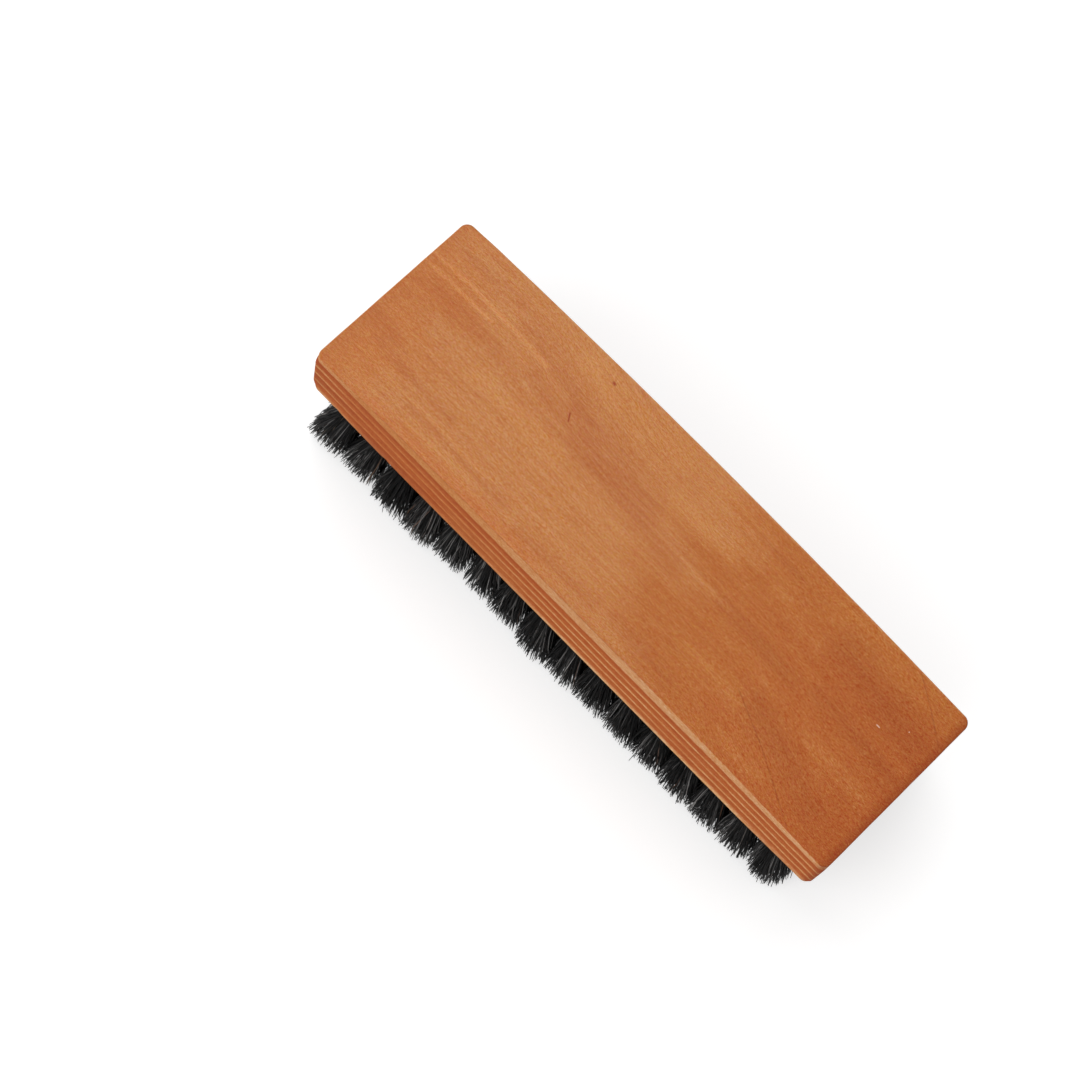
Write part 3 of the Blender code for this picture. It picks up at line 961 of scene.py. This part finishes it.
def tuft_paths(random, column, row, x, y):
    """Hair by hair, the points a tuft's hairs pass through, and each hair's tone."""
    count = HAIRS_IN_TUFT
    disc_x, disc_y = sunflower(count, random.uniform(0, 2 * math.pi))
    radius = np.hypot(disc_x, disc_y)
    mouth_x, mouth_y = x + disc_x * MOUTH_RADIUS, y + disc_y * MOUTH_RADIUS
    mouth = np.stack([mouth_x, mouth_y, np.full(count, UNDERSIDE)], -1)

    end_x = (TUFT_COLUMNS - 1) / 2 * COLUMN_PITCH
    end_y = (TUFT_ROWS - 1) / 2 * ROW_PITCH
    near = smooth_step(*NEAR_REACH, -y / end_y)
    centre_x = (1 - near) * leaned(x, end_x, END_LEAN, END_LEAN_POWER)
    centre_x += near * (x + np.interp(x, NEAR_LEAN_PLACES, NEAR_LEAN)) + random.normal(0, TUFT_LEAN[0])
    side_lean = NEAR_SIDE_LEAN[column] if y < 0 else SIDE_LEAN
    centre_y = leaned(y, end_y, side_lean, SIDE_LEAN_POWER) + random.normal(0, TUFT_LEAN[1])
    power = CORNER_SQUARENESS if column == TUFT_COLUMNS - 1 and row == 0 else TIP_SQUARENESS
    square_x, square_y = squared(disc_x, disc_y, power)
    tip_x = square_x * TIP_REACH_X * random.uniform(*TIP_REACH_RANGE)
    tip_x += random.normal(0, TIP_SCATTER, count)
    tip_y = square_y * TIP_REACH_Y * random.uniform(*TIP_REACH_RANGE)
    tip_y += random.normal(0, TIP_SCATTER, count)

    # Each hair is drawn towards the nearest lock
    lock_x, lock_y = squared(*sunflower(LOCKS_IN_TUFT, random.uniform(0, 2 * math.pi)), power)
    lock_x = lock_x * TIP_REACH_X + random.normal(0, LOCK_SCATTER, LOCKS_IN_TUFT)
    lock_y = lock_y * TIP_REACH_Y + random.normal(0, LOCK_SCATTER, LOCKS_IN_TUFT)
    lock = ((tip_x[:, None] - lock_x) ** 2 + (tip_y[:, None] - lock_y) ** 2).argmin(1)
    pull = random.uniform(*LOCK_PULL, count)
    tip_x += pull * (lock_x[lock] - tip_x)
    tip_y += pull * (lock_y[lock] - tip_y)
    lock_tone = random.beta(*LOCK_TONES, LOCKS_IN_TUFT)[lock]
    lock_level = np.abs(random.normal(0, LOCK_TRIM_SCATTER, LOCKS_IN_TUFT))[lock]

    level = TIP_DOME * radius**2 + np.abs(random.normal(0, TRIM_SCATTER, count)) + lock_level
    short = random.uniform(0, 1, count) < SHORT_SHARE
    level += short * random.uniform(0, SHORT_LOSS, count)
    tip = np.stack([centre_x + tip_x, centre_y + tip_y, level], -1)

    stray = (random.uniform(0, 1, count) < STRAY_SHARE)[:, None]
    bend = random.normal(0, HAIR_BEND, (count, 2))
    bend += stray * random.normal(0, STRAY_BEND, (count, 2))
    wave = random.normal(0, HAIR_WAVE, (count, 2))
    tip[:, :2] += stray * random.normal(0, STRAY_REACH, (count, 2))

    held = mouth + np.array([0.0, 0.0, HAIR_HOLD])
    points = np.empty((count, len(HAIR_STATIONS), 3))
    for station, share in enumerate(HAIR_STATIONS):
        fan = share * (1 + FAN_EARLY * (1 - share))
        at = mouth + (tip - mouth) * np.array([fan, fan, share])
        at[:, :2] += bend * math.sin(math.pi * share) + wave * math.sin(2 * math.pi * share)
        points[:, station] = held if station == 0 else at
    tone = LOCK_SHARE * lock_tone + (1 - LOCK_SHARE) * random.beta(*OWN_TONES, count)
    tone = np.clip(tone, 0.0, GREYEST)
    rare = random.uniform(0, 1, count)
    tone = np.where(rare < BROWN_SHARE, random.uniform(*BROWN_TONES, count), tone)
    tone = np.where(rare > 1 - LIGHT_SHARE, 1.0, tone)
    return points, tone


def hair_mesh(name, points, tone, turn):
    """Closed three-sided hairs along these points, with the map that their material reads."""
    count, stations = points.shape[:2]
    run = points[:, -1] - points[:, 1]
    run /= np.linalg.norm(run, axis=1, keepdims=True)
    side = np.cross(run, np.array([0.0, 1.0, 0.0]))
    side /= np.linalg.norm(side, axis=1, keepdims=True)
    front = np.cross(run, side)
    verts = np.empty((count, stations, HAIR_SIDES, 3))
    for corner in range(HAIR_SIDES):
        angle = turn + 2 * math.pi * corner / HAIR_SIDES
        outward = np.cos(angle)[:, None] * side + np.sin(angle)[:, None] * front
        for station in range(stations):
            verts[:, station, corner] = points[:, station] + HAIR_RADIUS * HAIR_TAPER[station] * outward
    verts[..., 2] = np.maximum(verts[..., 2], 0.0)
    size = stations * HAIR_SIDES
    walls = []
    for station in range(stations - 1):
        for corner in range(HAIR_SIDES):
            after = (corner + 1) % HAIR_SIDES
            low, high = station * HAIR_SIDES, (station + 1) * HAIR_SIDES
            walls.append((low + corner, low + after, high + after, high + corner))
    first = np.arange(count)[:, None, None] * size
    quads = (np.array(walls)[None] + first).reshape(-1, 4)
    caps = np.array([[2, 1, 0], [size - 3, size - 2, size - 1]])
    triangles = (caps[None] + first).reshape(-1, 3)

    mesh = bpy.data.meshes.new(name)
    mesh.vertices.add(count * size)
    mesh.vertices.foreach_set("co", (verts * MM).ravel())
    corners = np.concatenate([quads.ravel(), triangles.ravel()])
    mesh.loops.add(len(corners))
    mesh.loops.foreach_set("vertex_index", corners)
    starts = np.concatenate([np.arange(len(quads)) * 4, len(quads) * 4 + np.arange(len(triangles)) * 3])
    mesh.polygons.add(len(starts))
    mesh.polygons.foreach_set("loop_start", starts)
    mesh.polygons.foreach_set("use_smooth", np.ones(len(starts), bool))
    mesh.update(calc_edges=True)
    mesh.validate()
    along = np.tile(np.repeat(np.array(HAIR_STATIONS), HAIR_SIDES), count)
    flat = np.stack([np.repeat(tone, size), along], -1)[corners]
    layer = mesh.uv_layers.new(name="OFBake")
    layer.data.foreach_set("uv", flat.ravel())
    return mesh


def make_hair_row(column, surface):
    """One column of tufts across the brush."""
    random = np.random.RandomState(SEED + column)
    points, tone = [], []
    for at, row, x, y in tuft_places():
        if at == column:
            made = tuft_paths(random, column, row, x, y)
            points.append(made[0])
            tone.append(made[1])
    points, tone = np.concatenate(points), np.concatenate(tone)
    turn = random.uniform(0, 2 * math.pi, len(tone))
    name = f"hair_row_{column + 1:02d}"
    row = new_object(name, hair_mesh(name, points, tone, turn))
    row.data.materials.append(surface)
    return row


def floor_surface():
    """A plain pale floor that keeps the shadow."""
    s = Surface("pale_floor")
    s.shader.inputs["Base Color"].default_value = FLOOR_TONE
    s.shader.inputs["Roughness"].default_value = FLOOR_ROUGHNESS
    s.shader.inputs["Specular IOR Level"].default_value = 0.0
    path = s.add("ShaderNodeLightPath")
    s.shader.inputs["Emission Color"].default_value = WHITE
    seen = s.math("MULTIPLY", path.outputs["Is Camera Ray"], FLOOR_GLOW)
    s.feed(s.shader.inputs["Emission Strength"], seen)
    return s.material


def make_stage():
    bm = bmesh.new()
    bmesh.ops.create_grid(bm, x_segments=FLOOR_STEPS, y_segments=FLOOR_STEPS, size=FLOOR_SIZE)
    mesh = bpy.data.meshes.new("floor")
    bm.to_mesh(mesh)
    bm.free()
    floor = new_object("floor", mesh)
    floor.data.materials.append(floor_surface())


def make_world():
    """Even light from all round, and white behind everything that the camera sees."""
    world = bpy.data.worlds.new("studio")
    bpy.context.scene.world = world
    world.use_nodes = True
    tree = world.node_tree
    background = tree.nodes["Background"]
    background.inputs["Color"].default_value = WHITE
    path = tree.nodes.new("ShaderNodeLightPath")
    seen = tree.nodes.new("ShaderNodeMath")
    seen.operation = "MAXIMUM"
    tree.links.new(path.outputs["Is Camera Ray"], seen.inputs[0])
    tree.links.new(path.outputs["Is Glossy Ray"], seen.inputs[1])
    strength = tree.nodes.new("ShaderNodeMapRange")
    strength.inputs["To Min"].default_value = EVEN_LIGHT
    strength.inputs["To Max"].default_value = BACKGROUND_LIGHT
    tree.links.new(seen.outputs[0], strength.inputs["Value"])
    tree.links.new(strength.outputs[0], background.inputs["Strength"])


def add_sun(name, direction, strength, angle):
    lamp = bpy.data.lights.new(name, "SUN")
    lamp.energy = strength
    lamp.angle = math.radians(angle)
    made = new_object(name, lamp)
    made.rotation_mode = "QUATERNION"
    made.rotation_quaternion = Vector(direction).to_track_quat("Z", "Y")
    made.location = Vector(direction).normalized()


def make_camera():
    data = bpy.data.cameras.new("camera")
    data.lens = CAMERA_LENS
    data.sensor_width = CAMERA_SENSOR
    data.clip_start, data.clip_end = CAMERA_CLIP
    camera = new_object("camera", data)
    camera.location = CAMERA_PLACE
    camera.rotation_euler = [math.radians(angle) for angle in CAMERA_TURN]
    bpy.context.scene.camera = camera


def make_brush():
    block = make_block(wood_surface())
    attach(block, "root")
    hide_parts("block")

    hair = hair_surface()
    for column in range(TUFT_COLUMNS):
        row = make_hair_row(column, hair)
        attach(row, "root")
        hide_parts(f"bristle_row_{column + 1:02d}")


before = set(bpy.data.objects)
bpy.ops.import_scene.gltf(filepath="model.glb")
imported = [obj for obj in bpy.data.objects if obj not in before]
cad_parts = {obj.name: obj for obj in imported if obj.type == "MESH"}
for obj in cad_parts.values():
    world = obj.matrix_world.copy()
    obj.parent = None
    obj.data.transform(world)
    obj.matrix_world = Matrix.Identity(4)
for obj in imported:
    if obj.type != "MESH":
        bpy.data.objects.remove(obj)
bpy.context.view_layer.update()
bpy.context.scene.view_settings.view_transform = "Standard"
make_world()
for sun in SUNS:
    add_sun(*sun)
make_camera()
make_stage()
make_brush()
